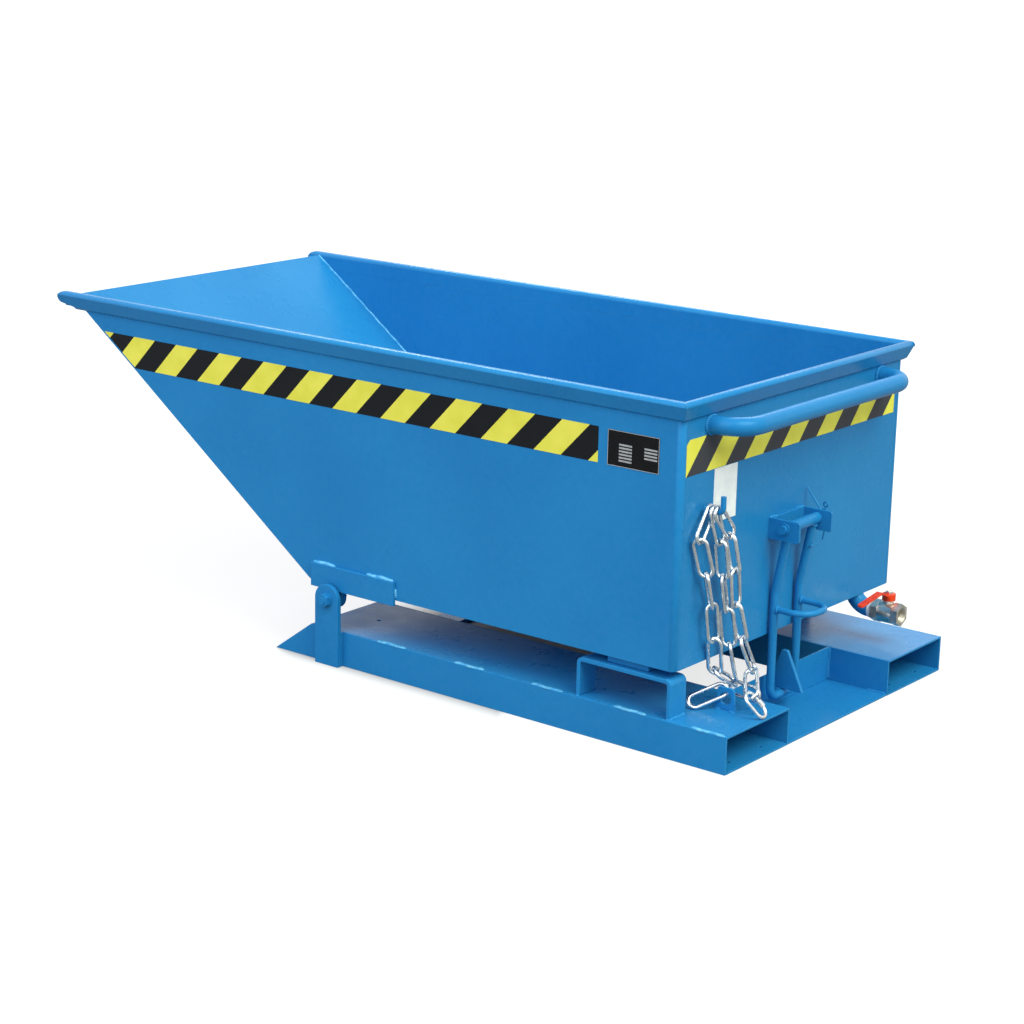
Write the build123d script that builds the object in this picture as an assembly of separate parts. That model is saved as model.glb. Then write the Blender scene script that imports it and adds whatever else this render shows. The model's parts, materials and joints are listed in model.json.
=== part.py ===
from build123d import *
import os
from math import acos, atan2, cos, hypot, radians, sin, sqrt, tan

# Tipping hopper on a fork base. Lengths in millimetres, angles in degrees.
# Built with the rear wall's outer face at x = 0, the nose towards -X, the near side
# towards -Y and the ground at z = 0. Every piece is then shifted along X, so that the
# origin lies on the ground under the middle of the overall length.

# Clearances
running_clearance = 0.05
seat_gap = 0.3
film_thickness = 0.5

# Fork base
base_width = 768.0
base_overhang = 120.0
base_length = 1072.0
pocket_width = 207.0
pocket_height = 70.0
pocket_sheet = 4.0
tip_length = 96.0
cross_wall_setback = 11.0
front_bar_width = 60.0
front_bar_thickness = 8.0
pocket_hole_radius = 4.5
pocket_hole_setback = 28.0
pocket_hole_spacing = 104.0
top_hole_radius = 4.0
top_hole_setback = 86.0

# Saddles that carry the hopper's rear end
saddle_height = 73.5
saddle_length = 206.0
saddle_width = 50.0
saddle_thickness = 8.0
saddle_bend = 12.0
saddle_inset = 7.0
saddle_rear = -5.0
far_saddle_advance = 170.0
rest_bar_thickness = 15.2
rest_bar_length = 90.0
rest_bar_inset = 14.0

# Hopper
hopper_inset = 7.0
hopper_depth = 488.0
wall = 3.0
floor_length = 866.0
front_angle = 35.5
front_sheet_lip = 47.4
fold_radius = 6.0
corner_radius = 12.0
corner_return = 15.0

# Rolled rim
rim_height = 37.0
rim_radius = 9.0
rim_sheet = 2.5
rim_foot_width = 5.5
rim_foot_height = 4.0
nose_overhang = 71.7
nose_curve = 25.0
nose_drop = 16.0
nose_radius = 10.0
nose_length = 43.0
nose_foot = 32.0
front_bead_radius = 8.0
front_bead_setback = 12.0
front_bead_drop = 25.0
front_lip_setback = 8.4

# Front pivot
pivot_setback = 64.0
pivot_drop = 25.0
pivot_radius = 8.0
upright_width = 60.0
upright_thickness = 10.0
spacer_thickness = 6.0
lug_radius = 22.0
lug_thickness = 12.0
bush_radius = 13.0
bolt_flats = 24.0
bolt_head = 10.0
nut_height = 10.0
bolt_tail = 2.0
washer_radius = 15.0
washer_thickness = 2.5
plate_thickness = 8.0
plate_height = 48.0
plate_hang = 10.0
plate_setback = 9.0
plate_length = 213.0

# Push handle
handle_radius = 16.85
handle_wall = 2.6
handle_width = 580.0
handle_reach = 65.0
handle_bend = 54.0
handle_height = 433.5

# Tilt latch
latch_height = 209.0
latch_reach = 34.0
latch_centre = -27.0
latch_width = 118.0
latch_sheet = 6.0
latch_arm_reach = 65.0
latch_arm_drop = 23.0
latch_arm_rise = 16.0
latch_arm_corner = 5.0
latch_pin_radius = 6.0
latch_head_radius = 8.5
latch_head_length = 7.0
latch_washer_radius = 12.0
latch_washer_thickness = 3.0
latch_tail = 8.0
split_pin_radius = 2.0
split_pin_length = 30.0
split_eye_radius = 4.5
split_eye_wire = 1.7
spring_wire_radius = 1.6
spring_coil_radius = 9.5
spring_pitch = 3.8
spring_turns = 3
spring_start_angle = 40.0
spring_upper_leg = 58.0
spring_lower_leg = 50.0
spring_tail = 10.0
tube_radius = 11.0
tube_end_gap = 0.5
lever_rod_radius = 8.0
lever_spread = 84.0
lever_knee_height = 81.0
lever_standoff = 10.0
lever_bend = 20.0
loop_radius = 6.0
loop_height = 49.0
loop_reach = 82.0
loop_bend = 36.0
tooth_height = 44.0
tooth_gap = 1.0
tooth_thickness = 8.0
tooth_reach = 66.6
tooth_rise = 76.0
tooth_top_reach = 31.0
tooth_top_width = 12.0
tooth_corner = 5.0

# Safety chain
link_wire = 7.0
link_inner_length = 67.2
link_inner_width = 18.0
link_slack = 0.4
resting_slack = 2.2
hook_radius = 5.0
hook_margin = 77.0
hook_height = 282.0
hook_reach = 38.5
hook_bend = 10.0
hook_tip = 30.0
first_link_reach = 12.0
link_pitch_on_hook = 8.5
quick_link_inner_length = 45.0
quick_link_inner_width = 19.0
quick_link_share = 4.5
quick_link_swing = 24.1
quick_link_lean = 33.6
quick_link_turn = -102.7
quick_link_nut_radius = 6.0
quick_link_nut_length = 13.0
quick_link_nut_shift = 6.0
chain_lug_thickness = 6.0
chain_lug_margin = 122.0
chain_lug_front = 15.0
chain_lug_foot = 45.0
chain_lug_lean = 6.0
chain_lug_height = 42.0
chain_lug_corner = 6.0
lug_hole_radius = 12.0
lug_hole_height = 22.0
lug_strip = 8.0
lug_link_forward = 8.0
lug_link_far = 7.75
lug_link_rise = 14.55
lug_link_swing = -60.34
lug_link_lean = -39.72
lug_link_roll = 62.5

# Drain valve
drain_margin = 102.0
drain_drop = 27.0
drain_pipe_radius = 16.85
drain_pipe_wall = 3.25
drain_elbow_radius = 38.0
drain_bend_start = 16.0
valve_start = 28.0
valve_length = 60.0
valve_hex_flats = 40.0
valve_hex_length = 15.0
valve_body_radius = 20.5
valve_socket_depth = 12.0
valve_bore_radius = 10.5
valve_thread_radius = 15.15
valve_ball_radius = 14.5
valve_chamber_gap = 1.0
valve_chamber_length = 29.4
valve_seat_length = 5.0
valve_neck_radius = 10.0
valve_neck_height = 34.0
valve_stem_radius = 5.0
valve_stem_depth = 4.0
valve_lever_sheet = 4.0
valve_lever_width = 13.0
valve_lever_reach = 112.0
valve_lever_rise = 11.0
valve_lever_step = 24.0
valve_lever_fall = 10.0
valve_lever_tail = 13.0
valve_hub_wall = 2.5
valve_hub_drop = 9.0
valve_nut_flats = 14.0
valve_nut_height = 5.0
tape_band_length = 9.0
tape_band_thickness = 0.8

# Tapes and plates
stripe_tape_height = 65.0
stripe_tape_foot = 351.0
stripe_tape_end = 178.0
stripe_tape_margin = 8.0
rear_tape_near_margin = 13.0
rear_tape_far_margin = 27.0
rear_tape_cut = 9.0
label_plate_length = 110.0
label_plate_height = 64.0
label_plate_gap = 21.0
label_plate_thickness = 1.0
paper_width = 73.0
paper_height = 98.0
paper_gap = 1.0
paper_margin = 103.0

# Places worked out from the sizes above
half_base = base_width / 2
hopper_width = base_width - 2 * hopper_inset
half_hopper = hopper_width / 2
base_rear = base_overhang
base_tip = base_rear - base_length
bevel_top = base_tip + tip_length
pocket_inner = half_base - pocket_width
saddle_front = saddle_rear - saddle_length
saddle_top = pocket_height + saddle_height
floor_z = saddle_top + seat_gap + rest_bar_thickness
rim_top = floor_z + hopper_depth
wall_top = rim_top - rim_height
rim_overhang = 2 * rim_radius - wall
pivot_x = -floor_length + pivot_setback
pivot_z = floor_z - pivot_drop
slope_length = (wall_top - floor_z) / sin(radians(front_angle))
front_run = slope_length + front_sheet_lip
nose_x = -floor_length - slope_length * cos(radians(front_angle)) - nose_overhang
cross_wall_x = -cross_wall_setback
upright_inner = half_base + spacer_thickness
upright_outer = upright_inner + upright_thickness
latch_z = floor_z + latch_height
drain_side = half_hopper - drain_margin
origin_shift = -(nose_x + base_rear) / 2


# Shape helpers

def block(x0, x1, y0, y1, z0, z1):
    """Box between two corners."""
    centre = Pos((x0 + x1) / 2, (y0 + y1) / 2, (z0 + z1) / 2)
    return centre * Box(x1 - x0, y1 - y0, z1 - z0)


def side_plate(face, y0, y1):
    """Face drawn in x and z, made a plate from y0 to y1."""
    plane = Plane(origin=(0, y0, 0), x_dir=(1, 0, 0), z_dir=(0, -1, 0))
    return extrude(plane * face, amount=y1 - y0, dir=(0, 1, 0))


def outline(*points):
    """Closed face through points with straight sides."""
    return make_face(Polyline(*points, close=True))


def rounded(face, x, y, radius):
    """Face with the corner nearest to a place rounded."""
    return fillet(face.vertices().sort_by_distance(Vertex(x, y, 0))[0], radius)


def bar_y(x, z, y0, y1, radius):
    """Round bar along Y."""
    return Pos(x, (y0 + y1) / 2, z) * Rot(90, 0, 0) * Cylinder(radius, y1 - y0)


def bar_x(y, z, x0, x1, radius):
    """Round bar along X."""
    return Pos((x0 + x1) / 2, y, z) * Rot(0, 90, 0) * Cylinder(radius, x1 - x0)


def bar_z(x, y, z0, z1, radius):
    """Round bar along Z."""
    return Pos(x, y, (z0 + z1) / 2) * Cylinder(radius, z1 - z0)


def hexagon(flats):
    """Hexagon of a given size across its flats."""
    return RegularPolygon(flats / sqrt(3), 6)


def bent_rod(points, bend, radius, bore=0.0):
    """Round rod or tube along straight runs joined by arcs."""
    path = FilletPolyline(*points, radius=bend)
    section = Circle(radius)
    if bore > 0:
        section -= Circle(bore)
    return sweep(Plane(origin=path @ 0, z_dir=path % 0) * section, path=path)


def far_side(shape):
    """The same shape on the far side."""
    return mirror(shape, about=Plane.XZ)


def group(*shapes):
    """Separate solids kept together under one name."""
    return Compound(children=[solid for shape in shapes for solid in shape.solids()])


def front_point(along, outward):
    """Point on the front sheet: along it from the fold, and out of its outer face."""
    slope = radians(front_angle)
    x = -floor_length - along * cos(slope) - outward * sin(slope)
    z = floor_z + along * sin(slope) - outward * cos(slope)
    return (x, z)


parts = {}

# Fork pockets

inside_near = -half_base + pocket_sheet
inside_far = -pocket_inner - pocket_sheet
pocket_middle = (inside_near + inside_far) / 2
pocket_side_face = outline(
    (base_rear, 0), (base_rear, pocket_height), (bevel_top, pocket_height), (base_tip, 0)
)
parts["pocket_outer_side_near"] = side_plate(pocket_side_face, -half_base, inside_near)
parts["pocket_inner_side_near"] = side_plate(pocket_side_face, inside_far, -pocket_inner)

pocket_top = block(
    bevel_top, base_rear, inside_near, inside_far, pocket_height - pocket_sheet, pocket_height
)
top_hole_x = bevel_top + top_hole_setback
pocket_top -= bar_z(top_hole_x, pocket_middle, 0, 2 * pocket_height, top_hole_radius)
parts["pocket_top_near"] = pocket_top

pocket_floor = block(base_tip + 2 * pocket_sheet, base_rear, inside_near, inside_far, 0, pocket_sheet)
floor_hole_x = base_rear - pocket_hole_setback
for side in (-1, 1):
    floor_hole_y = pocket_middle + side * pocket_hole_spacing / 2
    pocket_floor -= bar_z(floor_hole_x, floor_hole_y, -pocket_sheet, pocket_height, pocket_hole_radius)
parts["pocket_floor_near"] = pocket_floor

for name in ("pocket_outer_side", "pocket_inner_side", "pocket_top", "pocket_floor"):
    parts[name + "_far"] = far_side(parts[name + "_near"])

# Plates that join the pockets

parts["rear_floor_plate"] = block(
    cross_wall_x - pocket_sheet, base_rear, -pocket_inner, pocket_inner, 0, pocket_sheet
)
parts["cross_wall"] = block(
    cross_wall_x - pocket_sheet, cross_wall_x, -pocket_inner, pocket_inner, pocket_sheet, pocket_height
)
parts["front_cross_bar"] = block(
    pivot_x - front_bar_width / 2, pivot_x + front_bar_width / 2,
    -pocket_inner, pocket_inner, 0, front_bar_thickness,
)

# Saddles and the bars that rest on them


def saddle_face(inset):
    """Upside-down U outline of the saddle, drawn in from its outside."""
    front = saddle_front + inset
    rear = saddle_rear - inset
    top = saddle_top - inset
    face = outline((front, pocket_height), (front, top), (rear, top), (rear, pocket_height))
    face = rounded(face, front, top, saddle_bend - inset)
    return rounded(face, rear, top, saddle_bend - inset)


saddle_outside = -half_base + saddle_inset
saddle_inside = saddle_outside + saddle_width
parts["saddle_near"] = side_plate(
    saddle_face(0) - saddle_face(saddle_thickness), saddle_outside, saddle_inside
)
# The far saddle stands further forward and leaves the rear corner to the drain.
to_far_saddle = Pos(-far_saddle_advance, 0, 0)
parts["saddle_far"] = to_far_saddle * far_side(parts["saddle_near"])

rest_middle = (saddle_front + saddle_rear) / 2
rest_bar = block(
    rest_middle - rest_bar_length / 2, rest_middle + rest_bar_length / 2,
    max(saddle_outside, -half_hopper) + rest_bar_inset, saddle_inside,
    floor_z - rest_bar_thickness, floor_z,
)
parts["floor_rest_bars"] = group(rest_bar, to_far_saddle * far_side(rest_bar))

# Hopper floor and front, folded from one sheet

fold_shift = wall * tan(radians(front_angle) / 2)
sheet_face = outline(
    (-wall, floor_z), (-floor_length, floor_z), front_point(front_run, 0),
    front_point(front_run, -wall), (-floor_length + fold_shift, floor_z + wall),
    (-wall, floor_z + wall),
)
sheet_face = rounded(sheet_face, -floor_length, floor_z, fold_radius + wall)
sheet_face = rounded(sheet_face, -floor_length + fold_shift, floor_z + wall, fold_radius)
sheet = side_plate(sheet_face, -half_hopper + wall, half_hopper - wall)
sheet = fillet(sheet.edges().filter_by(Axis.Z).group_by(Axis.X)[-1], corner_radius - wall)
drain_rise = drain_elbow_radius - drain_drop
drain_x = drain_bend_start - sqrt(drain_elbow_radius**2 - drain_rise**2)
drain_bore = drain_pipe_radius - drain_pipe_wall
sheet -= bar_z(drain_x, drain_side, floor_z - wall, floor_z + 3 * wall, drain_bore)
parts["floor_front_sheet"] = sheet

# Side walls, drawn in plan with their return round the rear corner, then cut to the slope

side_outside = -half_hopper
side_inside = side_outside + wall
return_end = side_outside + corner_return
plan = outline(
    (nose_x, side_outside), (0, side_outside), (0, return_end),
    (-wall, return_end), (-wall, side_inside), (nose_x, side_inside),
)
plan = rounded(plan, 0, side_outside, corner_radius)
plan = rounded(plan, -wall, side_inside, corner_radius - wall)
side_blank = extrude(Pos(0, 0, floor_z) * plan, amount=wall_top - floor_z)
slope_face = outline(
    (rim_overhang, floor_z), (-floor_length, floor_z),
    front_point(slope_length, 0), (rim_overhang, wall_top),
)
slope_face = rounded(slope_face, -floor_length, floor_z, fold_radius + wall)
parts["side_wall_near"] = side_blank & side_plate(slope_face, side_outside - wall, return_end + wall)
parts["side_wall_far"] = far_side(parts["side_wall_near"])
parts["rear_wall"] = block(-wall, 0, return_end, -return_end, floor_z, wall_top)

# Rolled rim: a closed section, drawn with x outwards from the wall and y up from the top

rim_section = make_face(
    [
        Polyline(
            (-wall, -rim_radius), (-wall, -rim_height), (0, -rim_height),
            (rim_foot_width, rim_foot_height - rim_height), (rim_overhang, -rim_radius),
        ),
        ThreePointArc((rim_overhang, -rim_radius), (rim_radius - wall, 0), (-wall, -rim_radius)),
    ]
)
rim_hollow = offset(rim_section, -rim_sheet, kind=Kind.INTERSECTION)

nose_middle = rim_top - nose_drop
nose_foot_z = nose_middle - nose_radius
nose_face = make_face(
    [
        EllipticalCenterArc(
            (nose_x + nose_curve, nose_middle), nose_curve, nose_drop, start_angle=90, arc_size=90
        ),
        CenterArc((nose_x + nose_radius, nose_middle), nose_radius, 180, 90),
        Polyline(
            (nose_x + nose_radius, nose_foot_z), (nose_x + nose_length, rim_top - nose_foot),
            (nose_x + nose_length, rim_top - 2 * rim_height), (2 * rim_overhang, rim_top - 2 * rim_height),
            (2 * rim_overhang, rim_top + rim_height), (nose_x + nose_curve, rim_top + rim_height),
            (nose_x + nose_curve, rim_top),
        ),
    ]
)
mitre = 4 * rim_overhang
mitre_inner = (-mitre, -half_hopper + mitre)
mitre_outer = (mitre, -half_hopper - mitre)


def mitre_prism(corner):
    """Prism on one side of the mitre at the near rear corner."""
    face = outline(mitre_inner, mitre_outer, corner)
    return extrude(Pos(0, 0, rim_top - 2 * rim_height) * face, amount=3 * rim_height)


side_rim_plane = Plane(
    origin=(rim_overhang, -half_hopper, rim_top), x_dir=(0, -1, 0), z_dir=(-1, 0, 0)
)
side_rim_length = rim_overhang - nose_x
side_rim = extrude(side_rim_plane * rim_section, amount=side_rim_length)
side_rim &= side_plate(nose_face, -half_hopper - 2 * rim_overhang, -half_hopper + 2 * wall)
side_rim -= extrude(side_rim_plane * rim_hollow, amount=side_rim_length - nose_length)
side_rim -= mitre_prism((mitre, -half_hopper + mitre))
parts["rim_near"] = side_rim
parts["rim_far"] = far_side(side_rim)

rear_rim_plane = Plane(
    origin=(0, half_hopper + rim_overhang, rim_top), x_dir=(1, 0, 0), z_dir=(0, -1, 0)
)
rear_rim_length = hopper_width + 2 * rim_overhang
rear_rim = extrude(rear_rim_plane * (rim_section - rim_hollow), amount=rear_rim_length)
rear_mitre = mitre_prism((-mitre, -half_hopper - mitre))
parts["rim_rear"] = rear_rim - rear_mitre - far_side(rear_mitre)

bead_centre = (nose_x + front_bead_setback, rim_top - front_bead_drop)


def bead_tangent(point, turn):
    """Place where a line from a point touches the bead of the front rim."""
    dx = point[0] - bead_centre[0]
    dz = point[1] - bead_centre[1]
    angle = atan2(dz, dx) + turn * acos(front_bead_radius / hypot(dx, dz))
    x = bead_centre[0] + front_bead_radius * cos(angle)
    z = bead_centre[1] + front_bead_radius * sin(angle)
    return (x, z)


lip_start = front_point(slope_length + front_lip_setback, 0)
lip_foot = (nose_x + nose_length, rim_top - nose_foot)
sheet_tip_outer = front_point(front_run, 0)
sheet_tip_inner = front_point(front_run, -wall)
bead_under = bead_tangent(lip_foot, -1)
bead_over = bead_tangent(sheet_tip_inner, 1)
front_rim_face = make_face(
    [
        Polyline(bead_over, sheet_tip_inner, sheet_tip_outer, lip_start, lip_foot, bead_under),
        ThreePointArc(bead_under, (bead_centre[0] - front_bead_radius, bead_centre[1]), bead_over),
    ]
)
front_rim_hollow = offset(front_rim_face, -rim_sheet, kind=Kind.INTERSECTION)
parts["rim_front"] = side_plate(
    front_rim_face - front_rim_hollow, -half_hopper + wall, half_hopper - wall
)

# Front pivot

plate_front = -floor_length + plate_setback
plate_foot = floor_z - plate_hang
parts["reinforcing_plate_near"] = block(
    plate_front, plate_front + plate_length, -half_hopper - plate_thickness, -half_hopper,
    plate_foot, plate_foot + plate_height,
)
parts["reinforcing_plate_far"] = far_side(parts["reinforcing_plate_near"])

pivot_hole = Pos(pivot_x, pivot_z) * Circle(pivot_radius + running_clearance)
lug_face = Pos(pivot_x, pivot_z) * Circle(lug_radius)
lug_face += Pos(pivot_x, (pivot_z + floor_z) / 2) * Rectangle(2 * lug_radius, pivot_drop)
pivot_lug = side_plate(lug_face - pivot_hole, -half_hopper, -half_hopper + lug_thickness)
parts["pivot_lugs"] = group(pivot_lug, far_side(pivot_lug))

upright_face = Pos(pivot_x, pivot_z / 2) * Rectangle(upright_width, pivot_z)
upright_face += Pos(pivot_x, pivot_z) * Circle(upright_width / 2)
parts["upright_near"] = side_plate(upright_face - pivot_hole, -upright_outer, -upright_inner)
parts["upright_far"] = far_side(parts["upright_near"])

spacer = block(
    pivot_x - upright_width / 2, pivot_x + upright_width / 2,
    -upright_inner, -half_base, 0, pocket_height,
)
parts["upright_spacers"] = group(spacer, far_side(spacer))


def pivot_ring(face, y0, y1):
    """Ring or nut on the pivot bolt."""
    return side_plate(Pos(pivot_x, pivot_z) * face - pivot_hole, y0, y1)


nut_seat = upright_outer + washer_thickness
bolt_end = nut_seat + nut_height + bolt_tail
head_face = half_hopper - lug_thickness - seat_gap
pivot_bush = pivot_ring(Circle(bush_radius), -upright_inner, -half_hopper - seat_gap)
pivot_washer = pivot_ring(Circle(washer_radius), -nut_seat, -upright_outer)
pivot_nut = pivot_ring(Rot(0, 0, 30) * hexagon(bolt_flats), -nut_seat - nut_height, -nut_seat)
pivot_head = side_plate(Pos(pivot_x, pivot_z) * hexagon(bolt_flats), -head_face, -head_face + bolt_head)
pivot_bolt = pivot_head + bar_y(pivot_x, pivot_z, -bolt_end, -head_face, pivot_radius)
parts["pivot_bushes"] = group(pivot_bush, far_side(pivot_bush))
parts["pivot_washers"] = group(pivot_washer, far_side(pivot_washer))
parts["pivot_nuts"] = group(pivot_nut, far_side(pivot_nut))
parts["pivot_bolts"] = group(pivot_bolt, far_side(pivot_bolt))

# Push handle

handle_z = floor_z + handle_height
handle_end = handle_width / 2
parts["push_handle"] = bent_rod(
    [(0, -handle_end, handle_z), (handle_reach, -handle_end, handle_z),
     (handle_reach, handle_end, handle_z), (0, handle_end, handle_z)],
    handle_bend, handle_radius, handle_radius - handle_wall,
)

# Latch bracket and pin

arm_near = latch_centre - latch_width / 2
arm_far = latch_centre + latch_width / 2
arm_foot = latch_z - latch_arm_drop
arm_top = latch_z + latch_arm_rise
arm_face = outline(
    (0, arm_foot), (latch_arm_reach, arm_foot), (latch_arm_reach, arm_top), (0, arm_top)
)
arm_face = rounded(arm_face, latch_arm_reach, arm_foot, latch_arm_corner)
arm_face = rounded(arm_face, latch_arm_reach, arm_top, latch_arm_corner)
bracket = block(0, latch_sheet, arm_near, arm_far, arm_foot, arm_top)
bracket += side_plate(arm_face, arm_near, arm_near + latch_sheet)
bracket += side_plate(arm_face, arm_far - latch_sheet, arm_far)
latch_hole = latch_pin_radius + running_clearance
parts["latch_bracket"] = bracket - bar_y(latch_reach, latch_z, 2 * arm_near, 2 * arm_far, latch_hole)

coil_length = (spring_turns + spring_start_angle / 360) * spring_pitch
coil_start = arm_far + latch_washer_thickness + spring_wire_radius + seat_gap
coil_end = coil_start + coil_length
outer_washer = coil_end + spring_wire_radius + seat_gap
split_pin_y = outer_washer + latch_washer_thickness + split_pin_radius
near_washer = arm_near - latch_washer_thickness


def latch_washer(y0):
    """Washer on the latch pin."""
    ring = bar_y(latch_reach, latch_z, y0, y0 + latch_washer_thickness, latch_washer_radius)
    return ring - bar_y(latch_reach, latch_z, y0 - 1, y0 + latch_washer_thickness + 1, latch_hole)


parts["latch_washers"] = group(
    latch_washer(near_washer), latch_washer(arm_far), latch_washer(outer_washer)
)
latch_pin = bar_y(latch_reach, latch_z, near_washer, split_pin_y + latch_tail, latch_pin_radius)
latch_pin += bar_y(
    latch_reach, latch_z, near_washer - latch_head_length, near_washer, latch_head_radius
)
split_pin_hole = split_pin_radius + running_clearance
split_low = latch_z - split_pin_length / 2
split_high = latch_z + split_pin_length / 2
parts["latch_pin"] = latch_pin - bar_z(latch_reach, split_pin_y, split_low, split_high, split_pin_hole)
split_eye = Pos(latch_reach, split_pin_y, split_high + split_eye_radius)
split_pin = bar_z(latch_reach, split_pin_y, split_low, split_high, split_pin_radius)
parts["latch_split_pin"] = split_pin + split_eye * Rot(90, 0, 0) * Torus(
    split_eye_radius, split_eye_wire
)

# Latch lever: a tube on the pin, a bent rod welded under it and a loop handle

lever_near = latch_centre - lever_spread / 2
lever_far = latch_centre + lever_spread / 2
knee_z = floor_z + lever_knee_height
lever_bar_z = tooth_height - tooth_gap - lever_rod_radius
tube_near = arm_near + latch_sheet + tube_end_gap
tube_far = arm_far - latch_sheet - tube_end_gap
lever_tube = bar_y(latch_reach, latch_z, tube_near, tube_far, tube_radius)
parts["lever_tube"] = lever_tube - bar_y(latch_reach, latch_z, tube_near, tube_far, latch_hole)

lever_rod = bent_rod(
    [(latch_reach, lever_near, latch_z), (lever_standoff, lever_near, knee_z),
     (lever_standoff, lever_near, lever_bar_z), (lever_standoff, lever_far, lever_bar_z),
     (lever_standoff, lever_far, knee_z), (latch_reach, lever_far, latch_z)],
    lever_bend, lever_rod_radius,
)
parts["lever_rod"] = lever_rod - lever_tube

loop_z = floor_z + loop_height
lever_loop = bent_rod(
    [(lever_standoff, lever_near, loop_z), (loop_reach, lever_near, loop_z),
     (loop_reach, lever_far, loop_z), (lever_standoff, lever_far, loop_z)],
    loop_bend, loop_radius,
)
for leg in (lever_near, lever_far):
    lever_loop -= bar_z(lever_standoff, leg, loop_z - loop_bend, loop_z + loop_bend, lever_rod_radius)
parts["lever_loop"] = lever_loop

# Torsion spring on the far end of the pin: one leg on the wall, one on the lever rod

helix = Helix(spring_pitch, coil_length, spring_coil_radius)
helix_start = Plane(origin=helix @ 0, z_dir=helix % 0)
coil = sweep(helix_start * Circle(spring_wire_radius), path=helix, is_frenet=True)
coil = Pos(latch_reach, coil_start, latch_z) * Rot(-90, 0, 0) * Rot(0, 0, -spring_start_angle) * coil
start_angle = radians(spring_start_angle)
upper_x = latch_reach + spring_coil_radius * cos(start_angle)
upper_z = latch_z + spring_coil_radius * sin(start_angle)
upper_end_x = upper_x - spring_upper_leg * sin(start_angle)
upper_end_z = upper_z + spring_upper_leg * cos(start_angle)
upper_path = Line((upper_x, coil_start, upper_z), (upper_end_x, coil_start, upper_end_z))
upper_plane = Plane(origin=upper_path @ 0, z_dir=upper_path % 0)
upper_leg = extrude(upper_plane * Circle(spring_wire_radius), amount=spring_upper_leg)
lever_lean = atan2(latch_reach - lever_standoff, latch_z - knee_z)
press_gap = (lever_rod_radius + spring_wire_radius + seat_gap) / cos(lever_lean)
press_x = latch_reach - spring_lower_leg * tan(lever_lean) + press_gap
press_z = latch_z - spring_lower_leg
lower_leg = bent_rod(
    [(latch_reach + spring_coil_radius, coil_end, latch_z), (press_x, coil_end, press_z),
     (press_x, lever_far - spring_tail, press_z)],
    3 * spring_wire_radius, spring_wire_radius,
)
parts["latch_spring"] = coil + upper_leg + lower_leg

# Catch tooth on the cross wall

tooth_top = tooth_height + tooth_rise
tooth_top_x = cross_wall_x + tooth_top_reach
tooth_face = outline(
    (cross_wall_x, tooth_height), (cross_wall_x + tooth_reach, tooth_height),
    (tooth_top_x, tooth_top), (tooth_top_x - tooth_top_width, tooth_top), (cross_wall_x, pocket_height),
)
tooth_face = rounded(tooth_face, tooth_top_x, tooth_top, tooth_corner)
tooth_face = rounded(tooth_face, tooth_top_x - tooth_top_width, tooth_top, tooth_corner)
tooth_y = latch_centre - tooth_thickness / 2
parts["catch_tooth"] = side_plate(tooth_face, tooth_y, tooth_y + tooth_thickness)

# Chain hook and chain lug

hook_y = hook_margin - half_hopper
hook_z = floor_z + hook_height
parts["chain_hook"] = bent_rod(
    [(0, hook_y, hook_z), (hook_reach, hook_y, hook_z), (hook_reach, hook_y, hook_z + hook_tip)],
    hook_bend, hook_radius,
)

lug_top = pocket_height + chain_lug_height
lug_rear = chain_lug_front + chain_lug_foot
chain_lug_face = outline(
    (chain_lug_front, pocket_height), (lug_rear, pocket_height),
    (lug_rear - chain_lug_lean, lug_top), (chain_lug_front + chain_lug_lean, lug_top),
)
for corner_x in (lug_rear - chain_lug_lean, chain_lug_front + chain_lug_lean):
    chain_lug_face = rounded(chain_lug_face, corner_x, lug_top, chain_lug_corner)
lug_hole_z = pocket_height + lug_hole_height
lug_hole_front = chain_lug_front + chain_lug_lean * lug_hole_height / chain_lug_height + lug_strip
chain_lug_face -= Pos(lug_hole_front + lug_hole_radius, lug_hole_z) * Circle(lug_hole_radius)
lug_y = chain_lug_margin - half_base
parts["chain_lug"] = side_plate(
    chain_lug_face, lug_y - chain_lug_thickness / 2, lug_y + chain_lug_thickness / 2
)


# Chain links

def oval_link(inner_length, inner_width):
    """Oval link of round wire, lying along X in the XY plane."""
    path = SlotCenterToCenter(inner_length - inner_width, inner_width + link_wire).wire()
    return sweep(Plane(origin=path @ 0, z_dir=path % 0) * Circle(link_wire / 2), path=path)


def hang_direction(swing, lean):
    """Direction of a hanging link: swing towards +Y and lean towards +X, from straight down."""
    flat = cos(radians(lean))
    return Vector(sin(radians(lean)), flat * sin(radians(swing)), -flat * cos(radians(swing)))


def link_facing(direction, roll):
    """Normal of a link's plane, turned about the link's own length by roll."""
    outward = Vector(1, 0, 0) - direction * direction.X
    if outward.length < 0.5:
        outward = Vector(0, 0, 1) - direction * direction.Z
    outward = outward.normalized()
    return outward * cos(radians(roll)) + direction.cross(outward) * sin(radians(roll))


def placed_link(link, start, direction, facing, length):
    """Link with its upper inner end at start."""
    plane = Plane(origin=start + direction * (length / 2), x_dir=direction, z_dir=facing)
    return plane.location * link


def along_link(pull, facing):
    """Direction of the pull within a link's own plane."""
    return (pull - facing * facing.dot(pull)).normalized()


chain_link = oval_link(link_inner_length, link_inner_width)
bow_radius = (link_inner_width + link_wire) / 2


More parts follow.
